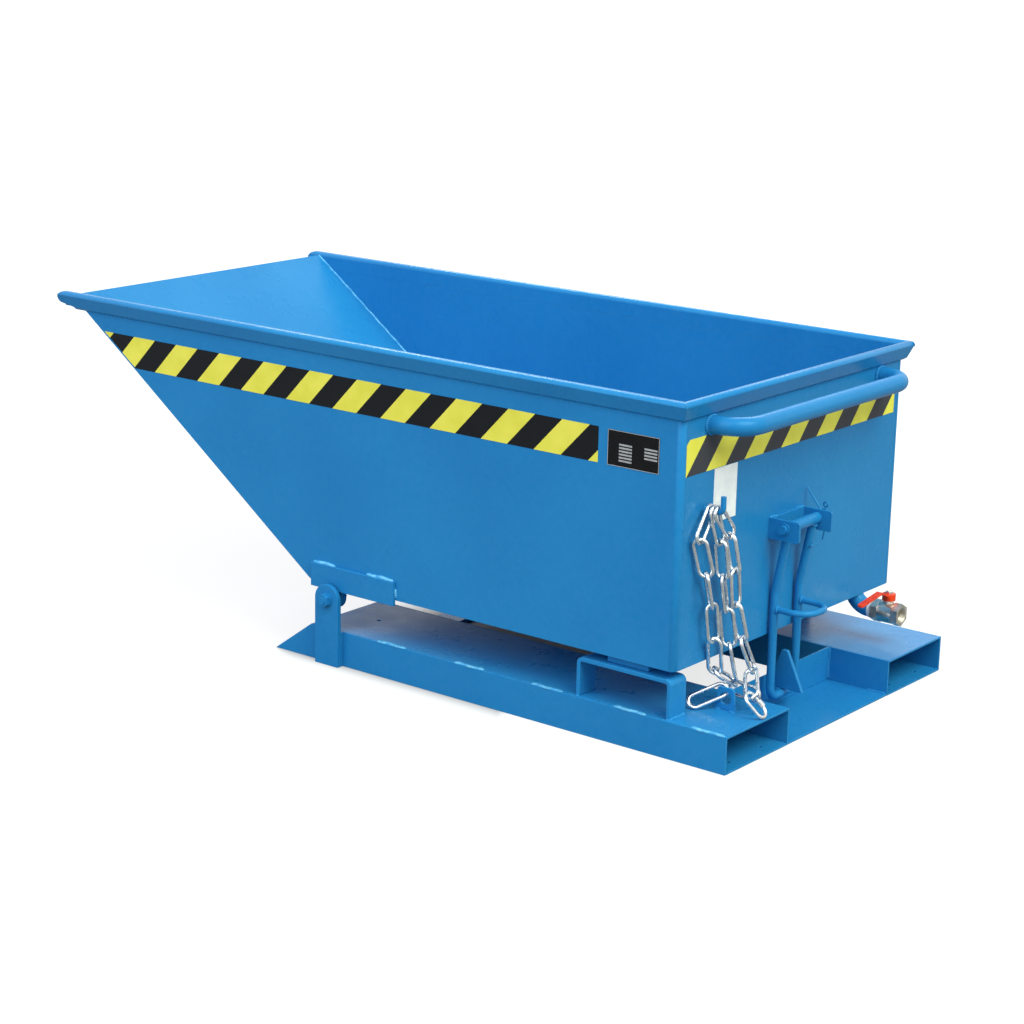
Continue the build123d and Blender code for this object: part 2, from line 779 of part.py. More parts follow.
def strand(place, hanging, resting=()):
    """Links hung one from the next, from a place on the hook counted from the wall.

    Each link gives its swing, lean and roll. The pull between two neighbours halves their angle,
    and their bows touch, but for the slack, where the pull crosses each bow. The resting links
    at the foot have more slack.
    """
    links = [*hanging, *resting]
    directions = [hang_direction(swing, lean) for swing, lean, roll in links]
    facings = [link_facing(direction, link[2]) for direction, link in zip(directions, links)]
    lift = (hook_radius + seat_gap) / hypot(directions[0].Y, directions[0].Z)
    start = Vector(first_link_reach + place * link_pitch_on_hook, hook_y, hook_z) - directions[0] * lift
    solids = []
    for number, direction in enumerate(directions):
        facing = facings[number]
        solids.append(placed_link(chain_link, start, direction, facing, link_inner_length))
        bow = start + direction * (link_inner_length - link_inner_width / 2)
        if number + 1 < len(links):
            following = directions[number + 1]
            pull = (direction + following).normalized()
            slack = link_slack if number + 1 < len(hanging) else resting_slack
            spread = along_link(pull, facing) + along_link(pull, facings[number + 1])
            next_bow = bow + spread * bow_radius - pull * (link_wire + slack)
            start = next_bow - following * (link_inner_width / 2)
    return solids, bow + direction * bow_radius


left_links = strand(
    0, [(-44, 5.9, 0), (16.3, 5.3, 67), (21, -3.1, -47.3), (10.3, 0.2, 16.1), (14.6, -4.8, -101.6)],
    [(60.7, 0.6, -51.8), (-97.9, 76.6, -94.7)],
)[0]
middle_links = strand(
    1, [(18, 2.7, 0), (10.9, -0.2, 92.8), (13.8, 0.4, -22.4), (9.8, 2, 71.5), (12.7, 5.6, -39.1)]
)[0]
right_links, right_end = strand(
    2, [(40.2, 3, 0), (9, 6.6, -75.1), (10.2, -1.8, 0.4),
        (11.1, 7.9, -81.7), (20.6, 10.5, -20.9), (-60.3, 32.2, -72.1)],
)
parts["chain_links"] = group(*left_links, *middle_links, *right_links)

# The quick link holds the last link of the right strand, to one side of its bow.
quick_bar = quick_link_inner_width / 2 + link_wire / 2
quick_nut = quick_link_nut_length / 2
quick_link = oval_link(quick_link_inner_length, quick_link_inner_width)
quick_link += bar_x(
    quick_bar, 0, quick_link_nut_shift - quick_nut, quick_link_nut_shift + quick_nut, quick_link_nut_radius
)
quick_direction = hang_direction(quick_link_swing, quick_link_lean)
quick_across = (Vector(1, 0, 0) - quick_direction * quick_direction.X).normalized()
quick_turn = radians(quick_link_turn)
quick_side = quick_across * cos(quick_turn) + quick_direction.cross(quick_across) * sin(quick_turn)
quick_bow = right_end - quick_side * quick_link_share
quick_middle = quick_bow + quick_direction * ((quick_link_inner_length - quick_link_inner_width) / 2)
quick_plane = Plane(
    origin=quick_middle, x_dir=quick_direction, z_dir=quick_direction.cross(quick_side)
)
parts["quick_link"] = quick_plane.location * quick_link

# The lug link lies over the lug's front strip, with one bar through the hole.
lug_link_start = Vector(
    lug_hole_front + lug_hole_radius - lug_link_forward, lug_y + lug_link_far, lug_hole_z + lug_link_rise
)
lug_link_direction = hang_direction(lug_link_swing, lug_link_lean)
lug_link_facing = link_facing(lug_link_direction, lug_link_roll)
parts["lug_link"] = placed_link(
    chain_link, lug_link_start, lug_link_direction, lug_link_facing, link_inner_length
)

# Drain elbow and ball valve

valve_z = floor_z - drain_drop
valve_x = valve_start + valve_length / 2
valve_end = valve_start + valve_length
pipe_end = valve_start + valve_socket_depth
elbow_x = drain_bend_start - drain_elbow_radius
elbow = bent_rod(
    [(pipe_end - seat_gap, drain_side, valve_z), (elbow_x, drain_side, valve_z),
     (elbow_x, drain_side, floor_z + 2 * drain_elbow_radius)],
    drain_elbow_radius, drain_pipe_radius, drain_bore,
)
parts["drain_elbow"] = elbow - block(
    -4 * drain_elbow_radius, 4 * drain_elbow_radius, drain_side - 2 * drain_elbow_radius,
    drain_side + 2 * drain_elbow_radius, floor_z, floor_z + 4 * drain_elbow_radius,
)

band_start = valve_start - tape_band_length
tape_band = bar_x(
    drain_side, valve_z, band_start, valve_start, drain_pipe_radius + tape_band_thickness
)
parts["thread_tape"] = tape_band - bar_x(
    drain_side, valve_z, band_start, valve_start, drain_pipe_radius
)


def valve_hex(x0, x1):
    """Hexagonal end of the valve."""
    section = Plane(origin=(x0, drain_side, valve_z), z_dir=(1, 0, 0)) * hexagon(valve_hex_flats)
    return extrude(section, amount=x1 - x0)


inlet_end = valve_start + valve_hex_length
outlet_start = valve_end - valve_hex_length
chamber_radius = valve_ball_radius + valve_chamber_gap
chamber_start = valve_x - valve_chamber_length / 2
chamber_end = valve_x + valve_chamber_length / 2
neck_top = valve_z + valve_neck_height
stem_hole = valve_stem_radius + running_clearance
valve_body = valve_hex(valve_start, inlet_end) + valve_hex(outlet_start, valve_end)
valve_body += bar_x(drain_side, valve_z, inlet_end, outlet_start, valve_body_radius)
valve_body += bar_z(valve_x, drain_side, valve_z, neck_top, valve_neck_radius)
valve_body -= bar_x(drain_side, valve_z, valve_start, pipe_end, drain_pipe_radius + running_clearance)
valve_body -= bar_x(drain_side, valve_z, valve_start, valve_end, valve_bore_radius)
valve_body -= bar_x(drain_side, valve_z, chamber_start, chamber_end, chamber_radius)
thread_start = valve_end - valve_socket_depth
valve_body -= bar_x(drain_side, valve_z, thread_start, valve_end, valve_thread_radius)
valve_body -= bar_z(valve_x, drain_side, valve_z, neck_top, stem_hole)
parts["valve_body"] = valve_body


seat_end = chamber_start + valve_seat_length
valve_seat = bar_x(drain_side, valve_z, chamber_start, seat_end, chamber_radius)
valve_seat -= bar_x(drain_side, valve_z, chamber_start, seat_end, valve_bore_radius)
valve_seat -= Pos(valve_x, drain_side, valve_z) * Sphere(valve_ball_radius + seat_gap)
parts["valve_seats"] = group(valve_seat, mirror(valve_seat, about=Plane.YZ.offset(valve_x)))

lever_z = neck_top + seat_gap
nut_z = lever_z + valve_lever_sheet
stem_foot = valve_z + valve_ball_radius - valve_stem_depth
stem_top = nut_z + valve_nut_height + 1
stem = bar_z(valve_x, drain_side, stem_foot, stem_top, valve_stem_radius)
parts["valve_stem"] = stem

# The valve is closed at rest, so the bore of the ball lies across the pipe.
ball_near = drain_side - 2 * valve_ball_radius
ball_far = drain_side + 2 * valve_ball_radius
ball = Pos(valve_x, drain_side, valve_z) * Sphere(valve_ball_radius)
ball -= bar_y(valve_x, valve_z, ball_near, ball_far, valve_bore_radius)
parts["valve_ball"] = ball - stem

tail_y = drain_side + valve_lever_tail
bend_y = drain_side - valve_lever_tail
crest_y = bend_y - valve_lever_step
tip_y = drain_side - valve_lever_reach
crest_z = lever_z + valve_lever_rise
tip_z = crest_z - valve_lever_fall
lever_profile = outline(
    (tail_y, lever_z), (bend_y, lever_z), (crest_y, crest_z), (tip_y, tip_z),
    (tip_y, tip_z + valve_lever_sheet), (crest_y, crest_z + valve_lever_sheet),
    (bend_y, nut_z), (tail_y, nut_z),
)
lever_plane = Plane(origin=(valve_x - valve_lever_width / 2, 0, 0), x_dir=(0, 1, 0), z_dir=(1, 0, 0))
lever_blank = extrude(lever_plane * lever_profile, amount=valve_lever_width)
lever_plan = Pos(valve_x, (tail_y + tip_y) / 2, lever_z - valve_lever_rise) * RectangleRounded(
    valve_lever_width, tail_y - tip_y, 0.4 * valve_lever_width
)
valve_lever = lever_blank & extrude(lever_plan, amount=4 * valve_lever_rise)
hub_inside = valve_neck_radius + 2 * seat_gap
hub_foot = lever_z - valve_hub_drop
valve_hub = bar_z(valve_x, drain_side, hub_foot, nut_z, hub_inside + valve_hub_wall)
valve_lever += valve_hub - bar_z(valve_x, drain_side, hub_foot, lever_z, hub_inside)
parts["valve_handle"] = valve_lever - bar_z(valve_x, drain_side, valve_z, stem_top, stem_hole)

handle_nut = extrude(Pos(valve_x, drain_side, nut_z) * hexagon(valve_nut_flats), amount=valve_nut_height)
parts["valve_handle_nut"] = handle_nut - bar_z(valve_x, drain_side, valve_z, stem_top, stem_hole)

# Tapes, label plate and paper label

tape_foot = floor_z + stripe_tape_foot
tape_top = tape_foot + stripe_tape_height


def slope_x(z):
    """Front edge of the side wall at a height, with the tape's margin."""
    return -floor_length - (z - floor_z) / tan(radians(front_angle)) + stripe_tape_margin


tape_face = outline(
    (slope_x(tape_foot), tape_foot), (-stripe_tape_end, tape_foot),
    (-stripe_tape_end, tape_top), (slope_x(tape_top), tape_top),
)
parts["hazard_tape_near"] = side_plate(tape_face, -half_hopper - film_thickness, -half_hopper)
parts["hazard_tape_far"] = far_side(parts["hazard_tape_near"])

rear_tape_near = rear_tape_near_margin - half_hopper
rear_tape_far = half_hopper - rear_tape_far_margin
rear_tape_face = outline(
    (rear_tape_near, tape_foot), (rear_tape_far, tape_foot), (rear_tape_far, tape_top),
    (rear_tape_near + rear_tape_cut, tape_top), (rear_tape_near, tape_top - rear_tape_cut),
)
parts["hazard_tape_rear"] = extrude(Plane.YZ * rear_tape_face, amount=film_thickness)

label_front = -stripe_tape_end + label_plate_gap
parts["label_plate"] = block(
    label_front, label_front + label_plate_length, -half_hopper - label_plate_thickness, -half_hopper,
    tape_foot, tape_foot + label_plate_height,
)
paper_near = paper_margin - half_hopper
paper_top = tape_foot - paper_gap
parts["paper_label"] = block(
    0, film_thickness, paper_near, paper_near + paper_width, paper_top - paper_height, paper_top
)

# Hand every piece out in the shared frame

os.makedirs("parts", exist_ok=True)
for name, shape in parts.items():
    export_step(Pos(origin_shift, 0, 0) * shape, "parts/" + name + ".step")
print(len(parts), "pieces")
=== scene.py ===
import json
from math import cos, pi, radians, sin

import bpy
import numpy as np
from mathutils import Matrix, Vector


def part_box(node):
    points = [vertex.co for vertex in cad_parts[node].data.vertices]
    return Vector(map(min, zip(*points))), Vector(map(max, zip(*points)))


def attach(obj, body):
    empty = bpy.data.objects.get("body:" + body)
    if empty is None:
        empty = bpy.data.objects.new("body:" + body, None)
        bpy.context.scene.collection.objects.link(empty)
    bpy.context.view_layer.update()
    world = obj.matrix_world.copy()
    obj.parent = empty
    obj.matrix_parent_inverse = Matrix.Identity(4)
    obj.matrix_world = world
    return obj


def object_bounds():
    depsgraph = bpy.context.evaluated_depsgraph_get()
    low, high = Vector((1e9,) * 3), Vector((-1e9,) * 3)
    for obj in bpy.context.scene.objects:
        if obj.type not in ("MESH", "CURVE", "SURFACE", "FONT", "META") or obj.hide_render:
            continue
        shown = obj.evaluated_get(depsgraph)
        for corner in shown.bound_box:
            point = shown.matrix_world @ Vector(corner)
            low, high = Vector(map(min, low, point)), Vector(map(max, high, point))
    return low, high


# Tipping hopper on a fork base: its finishes, weld beads, thread and marks.
# Places are in metres in the part's own frame: +X to the rear, -Y the near side, +Z up.
# Sizes of beads, marks and patterns are in millimetres, and times mm they are in metres.

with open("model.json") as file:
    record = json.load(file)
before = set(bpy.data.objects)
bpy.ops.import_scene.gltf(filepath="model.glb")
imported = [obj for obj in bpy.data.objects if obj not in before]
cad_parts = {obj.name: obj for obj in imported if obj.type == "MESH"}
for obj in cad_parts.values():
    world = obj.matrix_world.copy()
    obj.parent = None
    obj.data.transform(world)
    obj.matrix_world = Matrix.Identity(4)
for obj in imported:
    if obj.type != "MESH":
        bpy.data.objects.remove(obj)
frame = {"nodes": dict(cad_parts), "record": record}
cad_low, cad_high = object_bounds()
nodes = frame["nodes"]
mm = 0.001


def new_object(name, data):
    """Object put into the scene."""
    holder = bpy.data.objects.new(name, data)
    bpy.context.scene.collection.objects.link(holder)
    return holder


# Camera at the photograph's angle

focal_length_pixels = 2421.5
picture_width_pixels = 1024
sensor_width_mm = 36.0
camera_place = (2.9735, -3.7314, 1.5214)
camera_azimuth = radians(37.94)
camera_elevation = radians(14.96)
camera_roll = radians(-1.26)


def add_camera():
    """Camera from azimuth, elevation and roll: its axes are the columns right, up and back."""
    right = np.array((cos(camera_azimuth), sin(camera_azimuth), 0.0))
    back = np.array((
        sin(camera_azimuth) * cos(camera_elevation),
        -cos(camera_azimuth) * cos(camera_elevation),
        sin(camera_elevation),
    ))
    up = np.cross(back, right)
    rolled_right = right * cos(camera_roll) - up * sin(camera_roll)
    rolled_up = right * sin(camera_roll) + up * cos(camera_roll)
    lens = bpy.data.cameras.new("photo_camera")
    lens.sensor_width = sensor_width_mm
    lens.lens = focal_length_pixels / picture_width_pixels * sensor_width_mm
    camera = new_object("photo_camera", lens)
    turn = Matrix(np.stack((rolled_right, rolled_up, back), axis=1).tolist())
    camera.matrix_world = Matrix.Translation(camera_place) @ turn.to_4x4()
    bpy.context.scene.camera = camera


add_camera()


# Colours and shader nodes

mix_first, mix_second, mix_result = 6, 7, 2  # sockets of a Mix node that mixes colours
noise_low, noise_high = 0.25, 0.75  # soft noise seldom leaves this range
full_white = (1, 1, 1, 1)


def linear(colour):
    """Linear colour of an sRGB hex value."""
    shown = np.array([int(colour[start:start + 2], 16) for start in (1, 3, 5)]) / 255
    light = np.where(shown <= 0.04045, shown / 12.92, ((shown + 0.055) / 1.055) ** 2.4)
    return (*light.tolist(), 1.0)


def add(tree, kind, settings, sockets):
    """Add a node with its own settings, and give each input a value or a link."""
    node = tree.nodes.new(kind)
    for name, value in settings.items():
        setattr(node, name, value)
    for name, value in sockets.items():
        if isinstance(value, bpy.types.NodeSocket):
            tree.links.new(value, node.inputs[name])
        else:
            node.inputs[name].default_value = value
    return node


def empty_tree(holder):
    """Node tree of a material or a world, with nothing in it yet."""
    holder.use_nodes = True
    holder.node_tree.nodes.clear()
    return holder.node_tree


def new_finish(name, fixed):
    """Material with one shader, whose fixed values are set on it, and the place on the piece."""
    finish = bpy.data.materials.new(name)
    tree = empty_tree(finish)
    shader = add(tree, "ShaderNodeBsdfPrincipled", {}, fixed)
    add(tree, "ShaderNodeOutputMaterial", {}, {"Surface": shader.outputs["BSDF"]})
    place = add(tree, "ShaderNodeTexCoord", {}, {}).outputs["Object"]
    return finish, tree, shader, place


def mottle(tree, place, size, low, high, detail=2.0):
    """Soft noise in patches of a size in millimetres, spread from low to high by a smooth step."""
    noise = add(tree, "ShaderNodeTexNoise", {}, {
        "Vector": place, "Scale": 1 / (size * mm), "Detail": detail,
    })
    return add(tree, "ShaderNodeMapRange", {"interpolation_type": "SMOOTHSTEP"}, {
        "Value": noise.outputs["Fac"], "From Min": noise_low, "From Max": noise_high,
        "To Min": low, "To Max": high,
    }).outputs["Result"]


def two_tone(tree, place, size, first, second, detail=2.0):
    """Colour that wanders between two in soft patches of a size in millimetres."""
    return add(tree, "ShaderNodeMix", {"data_type": "RGBA"}, {
        0: mottle(tree, place, size, 0, 1, detail),
        mix_first: linear(first), mix_second: linear(second),
    }).outputs[mix_result]


def dress(tree, shader, worked_out, layers=()):
    """Link worked-out values to the shader's inputs, and lay bumps on it one on another.

    Each layer is a height from 0 to 1 and its depth in millimetres.
    """
    under = {}
    for height, depth in layers:
        bump = add(tree, "ShaderNodeBump", {}, {"Height": height, "Distance": depth * mm, **under})
        under = {"Normal": bump.outputs["Normal"]}
    for name, value in {**worked_out, **under}.items():
        tree.links.new(value, shader.inputs[name])


def patchy_finish(name, fixed, tones, rough, bump=None):
    """Finish whose colour, roughness and bumps each wander in patches of their own size.

    Tones holds what two_tone takes and rough what mottle takes. A bump has its patches' size and
    detail, and its depth.
    """
    finish, tree, shader, place = new_finish(name, fixed)
    worked_out = {
        "Base Color": two_tone(tree, place, **tones),
        "Roughness": mottle(tree, place, **rough),
    }
    layers = []
    if bump:
        height = mottle(tree, place, bump["size"], 0, 1, bump["detail"])
        layers.append((height, bump["depth"]))
    dress(tree, shader, worked_out, layers)
    return finish


# Finishes

coating_sheen = linear("#B8F0FF")


def powder_coated_steel():
    """Blue powder coating on sheet steel, sprayed and baked.

    The eye gets a satin skin with a faint orange peel, soft waves of the rolled sheet in the
    reflections, and a slightly uneven blue with a trace of dust. Real orange peel is 2 to 4 mm
    wide, which is too fine to show, so it is drawn at 9 mm.
    """
    wave_depth, peel_depth = 1.4, 0.02
    fixed = {"IOR": 1.4, "Specular IOR Level": 0.35, "Specular Tint": coating_sheen}
    finish, tree, shader, place = new_finish("powder_coated_steel", fixed)
    dusty_blue = add(tree, "ShaderNodeMix", {"data_type": "RGBA"}, {
        0: mottle(tree, place, size=14, low=0, high=0.03, detail=4.0),
        mix_first: two_tone(tree, place, 320, "#1C79B9", "#2281C0", detail=3.0),
        mix_second: linear("#7FBCE4"),
    }).outputs[mix_result]
    satin = mottle(tree, place, size=60, low=0.25, high=0.34, detail=3.0)
    sheet_waves = mottle(tree, place, size=210, low=0, high=1, detail=0.0)
    peel = mottle(tree, place, size=9, low=0, high=1, detail=0.0)
    layers = [(sheet_waves, wave_depth), (peel, peel_depth)]
    dress(tree, shader, {"Base Color": dusty_blue, "Roughness": satin}, layers)
    return finish


def weld_bead_painted_highlight():
    """The same coating on a weld bead, drawn paler than on the sheet as a painted highlight.

    The eye gets a glossier blue than on the sheet, in small patches between mid and pale blue.
    """
    return patchy_finish(
        "weld_bead_painted_highlight",
        {"IOR": 1.5, "Specular IOR Level": 0.5, "Specular Tint": coating_sheen},
        # The pale end of this blue stands in for the glint of light on the curved beads: painted
        # highlight.
        tones={"size": 11, "first": "#3593CF", "second": "#74C2EA", "detail": 3.0},
        rough={"size": 6, "low": 0.16, "high": 0.28},
        bump={"size": 5, "detail": 1.0, "depth": 0.15},
    )


def bright_zinc_steel():
    """Zinc-plated steel wire: bent, welded and plated.

    The eye gets a bright silver metal with cloudy patches of duller plating and small dents.
    """
    return patchy_finish(
        "bright_zinc_steel", {"Metallic": 1.0},
        tones={"size": 16, "first": "#D2D7DD", "second": "#EEF0F2"},
        rough={"size": 12, "low": 0.2, "high": 0.32},
        bump={"size": 14, "detail": 1.0, "depth": 0.12},
    )


def nickel_plated_brass():
    """Nickel-plated brass of a ball valve, cast and then turned.

    The eye gets a warm grey metal, fairly sharp in its reflections and softly uneven, as cast.
    """
    return patchy_finish(
        "nickel_plated_brass", {"Metallic": 1.0},
        tones={"size": 12, "first": "#C9BFB0", "second": "#E4DDD2"},
        rough={"size": 9, "low": 0.3, "high": 0.42},
        bump={"size": 9, "detail": 1.0, "depth": 0.06},
    )


def bearing_bronze():
    """Plain bearing bronze of the pivot bushes, turned: a dull golden metal with a fine grain.

    Real turning marks are too fine to show, so the grain is drawn at 1.5 mm.
    """
    return patchy_finish(
        "bearing_bronze", {"Metallic": 1.0},
        tones={"size": 6, "first": "#A88445", "second": "#C7A35F"},
        rough={"size": 3, "low": 0.3, "high": 0.45},
        bump={"size": 1.5, "detail": 2.0, "depth": 0.03},
    )


def dipped_red_vinyl():
    """Red vinyl that the valve lever is dipped in: a soft gloss with sags and thin spots."""
    return patchy_finish(
        "dipped_red_vinyl", {"IOR": 1.5, "Specular IOR Level": 0.35},
        tones={"size": 16, "first": "#DE3305", "second": "#EE450C"},
        rough={"size": 8, "low": 0.32, "high": 0.42},
        bump={"size": 10, "detail": 1.0, "depth": 0.25},
    )


def wound_thread_tape():
    """White sealing tape and seat polymer: a waxy white with the tape's turns along the pipe."""
    turn_width, turn_depth = 2.5, 0.25
    band_run = pi / 10  # one band of the wave texture at a scale of one
    finish, tree, shader, place = new_finish("wound_thread_tape", {"IOR": 1.38, "Roughness": 0.55})
    turns = add(tree, "ShaderNodeTexWave", {"bands_direction": "X"}, {
        "Vector": place, "Scale": band_run / (turn_width * mm), "Distortion": 1.5, "Detail": 2.0,
    }).outputs["Fac"]
    white = add(tree, "ShaderNodeMix", {"data_type": "RGBA"}, {
        0: turns, mix_first: linear("#D9DCDD"), mix_second: linear("#F6F6F4"),
    }).outputs[mix_result]
    dress(tree, shader, {"Base Color": white}, [(turns, turn_depth)])
    return finish


def striped_film(name, along, shift, foot, slant, pitch, dark):
    """Printed warning film: slanting yellow and dark stripes under a smooth clear face.

    The stripes are counted by the place along the tape plus the shift, less the slant for each
    metre up from the tape's foot, all divided by the pitch. A stripe is dark in the first half
    of its pitch.
    """
    dark_share, wave_depth = 0.5, 0.5
    finish, tree, shader, place = new_finish(name, {"IOR": 1.5, "Specular IOR Level": 0.2})
    parts = add(tree, "ShaderNodeSeparateXYZ", {}, {"Vector": place})
    lean = add(tree, "ShaderNodeMath", {"operation": "MULTIPLY_ADD"}, {
        0: parts.outputs["Z"], 1: -slant, 2: slant * foot + shift,
    })
    run = add(tree, "ShaderNodeMath", {"operation": "ADD"}, {
        0: parts.outputs[along], 1: lean.outputs[0],
    })
    count = add(tree, "ShaderNodeMath", {"operation": "DIVIDE"}, {
        0: run.outputs[0], 1: pitch * mm,
    })
    share = add(tree, "ShaderNodeMath", {"operation": "FRACT"}, {0: count.outputs[0]})
    stripe = add(tree, "ShaderNodeMath", {"operation": "LESS_THAN"}, {
        0: share.outputs[0], 1: dark_share,
    })
    printed = add(tree, "ShaderNodeMix", {"data_type": "RGBA"}, {
        0: stripe.outputs[0],
        mix_first: two_tone(tree, place, 45, "#E3DD4E", "#EEE75C"), mix_second: linear(dark),
    }).outputs[mix_result]
    smooth = mottle(tree, place, size=25, low=0.34, high=0.46)
    waves = mottle(tree, place, size=70, low=0, high=1, detail=1.0)
    dress(tree, shader, {"Base Color": printed, "Roughness": smooth}, [(waves, wave_depth)])
    return finish


def black_anodised_plate():
    """Black anodised aluminium sheet of the rating plate: a satin black with a rolled grain.

    The real grain is too fine to show, so its lines are drawn 1.2 mm wide.
    """
    grain_stretch = (0.08, 1.0, 1.0)
    grain_depth = 0.02
    finish, tree, shader, place = new_finish("black_anodised_plate", {"Specular IOR Level": 0.12})
    grain = add(tree, "ShaderNodeMapping", {}, {"Vector": place, "Scale": grain_stretch})
    rolled = mottle(tree, grain.outputs["Vector"], size=1.2, low=0, high=1, detail=3.0)
    black = add(tree, "ShaderNodeMix", {"data_type": "RGBA"}, {
        0: rolled, mix_first: linear("#0C0C0E"), mix_second: linear("#1A1A1D"),
    }).outputs[mix_result]
    satin = mottle(tree, place, size=12, low=0.34, high=0.46)
    dress(tree, shader, {"Base Color": black, "Roughness": satin}, [(rolled, grain_depth)])
    return finish


def bare_aluminium_marks():
    """Aluminium left bare in the black plate as its border and blank fields: pale and satin."""
    return patchy_finish(
        "bare_aluminium_marks", {"Metallic": 0.6},
        tones={"size": 6, "first": "#A9ABAE", "second": "#C3C5C8"},
        rough={"size": 4, "low": 0.4, "high": 0.52},
    )


def plain_label_paper():
    """Coated label paper, bare: a soft white with faint creases and a slightly grey pulp."""
    return patchy_finish(
        "plain_label_paper", {"Specular IOR Level": 0.25},
        tones={"size": 22, "first": "#E3E7EE", "second": "#F3F5F8", "detail": 3.0},
        rough={"size": 18, "low": 0.5, "high": 0.62},
        bump={"size": 26, "detail": 2.0, "depth": 0.6},
    )


finishes = {
    "blue_paint": powder_coated_steel(),
    "zinc_steel": bright_zinc_steel(),
    "nickel_brass": nickel_plated_brass(),
    "red_coating": dipped_red_vinyl(),
    "white_polymer": wound_thread_tape(),
    "black_plate": black_anodised_plate(),
    "white_paper": plain_label_paper(),
    "bearing_brass": bearing_bronze(),
}
plate_marks = bare_aluminium_marks()
# The pale blue of the stitch and plate beads is painted highlight.
weld_highlight_finish = weld_bead_painted_highlight()
film_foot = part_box("hazard_tape_near")[0].z
side_film = striped_film(
    "striped_film_side", along="X", shift=0.630, foot=film_foot, slant=0.96, pitch=121.7,
    dark="#101318",
)
# The rear film's dark stripes are a paler grey than the side film's: painted sheen of the key light
# falling on the rear.
rear_film_painted_sheen = striped_film(
    "striped_film_rear", along="Y", shift=0.363, foot=film_foot, slant=0.90, pitch=122.2,
    dark="#3A3B42",
)
film_of = {
    "hazard_tape_near": side_film, "hazard_tape_far": side_film, "hazard_tape_rear": rear_film_painted_sheen,
}
slot_of = {row["node"]: row["material_slot"] for row in frame["record"]["subparts"]}
for name, node in nodes.items():
    node.data.materials.clear()
    node.data.materials.append(film_of.get(name) or finishes[slot_of[name]])


# Softened edges of cut and folded steel

edge_radius = {"plate": 1.2, "sheet": 0.8, "small": 0.5}
pieces_by_edge = {
    "plate": [
        "saddle_near", "saddle_far", "upright_near", "upright_far", "upright_spacers",
        "pivot_lugs", "reinforcing_plate_near", "reinforcing_plate_far", "catch_tooth",
        "chain_lug", "latch_bracket", "floor_rest_bars", "front_cross_bar",
    ],
    "sheet": [
        "rear_floor_plate", "cross_wall", "side_wall_near", "side_wall_far", "rim_near",
        "rim_far", "rim_rear", "rim_front",
        *[f"pocket_{wall}_{side}" for wall in ("outer_side", "inner_side", "top", "floor")
          for side in ("near", "far")],
    ],
    "small": [
        "pivot_nuts", "pivot_bolts", "pivot_washers", "valve_body", "valve_handle",
        "valve_handle_nut", "latch_washers", "latch_pin",
    ],
}
same_point = 0.01
flat_angle, sharp_angle = radians(0.5), radians(35)
edge_segments = 2


def soften_edges(node, radius):
    """Round a steel piece's sharp edges: the loose triangles are joined first, then bevelled."""
    joined = node.modifiers.new("joined", "WELD")
    joined.merge_threshold = same_point * mm
    flat = node.modifiers.new("flat", "DECIMATE")
    flat.decimate_type = "DISSOLVE"
    flat.angle_limit = flat_angle
    rounded = node.modifiers.new("rounded", "BEVEL")
    rounded.width = radius * mm
    rounded.segments = edge_segments
    rounded.limit_method = "ANGLE"
    rounded.angle_limit = sharp_angle
    rounded.use_clamp_overlap = True
    rounded.harden_normals = True


for kind, names in pieces_by_edge.items():
    for name in names:
        soften_edges(nodes[name], edge_radius[kind])


# Surfaces

def add_surface(name, points, faces, finish, body, smooth=True):
    """New piece from an array of points and lists of faces, riding on a body."""
    mesh = bpy.data.meshes.new(name)
    mesh.from_pydata(points.reshape(-1, 3).tolist(), [], faces)
    mesh.polygons.foreach_set("use_smooth", np.full(len(mesh.polygons), smooth))
    mesh.materials.append(finish)
    piece = new_object(name, mesh)
    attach(piece, body)


def unit(vectors):
    """Vectors of length one."""
    return vectors / np.linalg.norm(vectors, axis=-1, keepdims=True)


# Weld beads

bead_size = {  # width across the bead and height outwards
    "pocket_stitch": (8.5, 2.6), "saddle_foot": (8.0, 3.5), "saddle_end": (7.0, 3.0),
    "cross_wall": (7.0, 3.0), "floor_plate": (6.0, 3.0), "chain_lug": (7.0, 3.2),
    "catch_tooth": (6.5, 3.0), "plate_top": (8.0, 4.0), "plate_end": (6.0, 3.0),
    "front_seam": (5.0, 2.4), "rim_mitre": (3.0, 0.7), "rear_seam": (3.0, 0.5),
    "handle_foot": (8.0, 3.2), "hook_foot": (5.0, 2.4), "latch_bracket": (7.0, 3.2),
    "lever_loop": (4.5, 2.2), "lever_rod": (4.5, 2.0),
}
bead_sides, bead_step = 10, 0.8  # points of a ring, and the run from ring to ring
fewest_straight, fewest_round = 8, 24  # rings of the shortest beads
ripple_pitch, ripple_share = 3.2, 0.16
sway_share, sway_run = 0.12, 9  # share of the width, and the run for each radian
sway_by_x, sway_by_y = 40, 70  # radians for each metre, so that no two beads sway alike


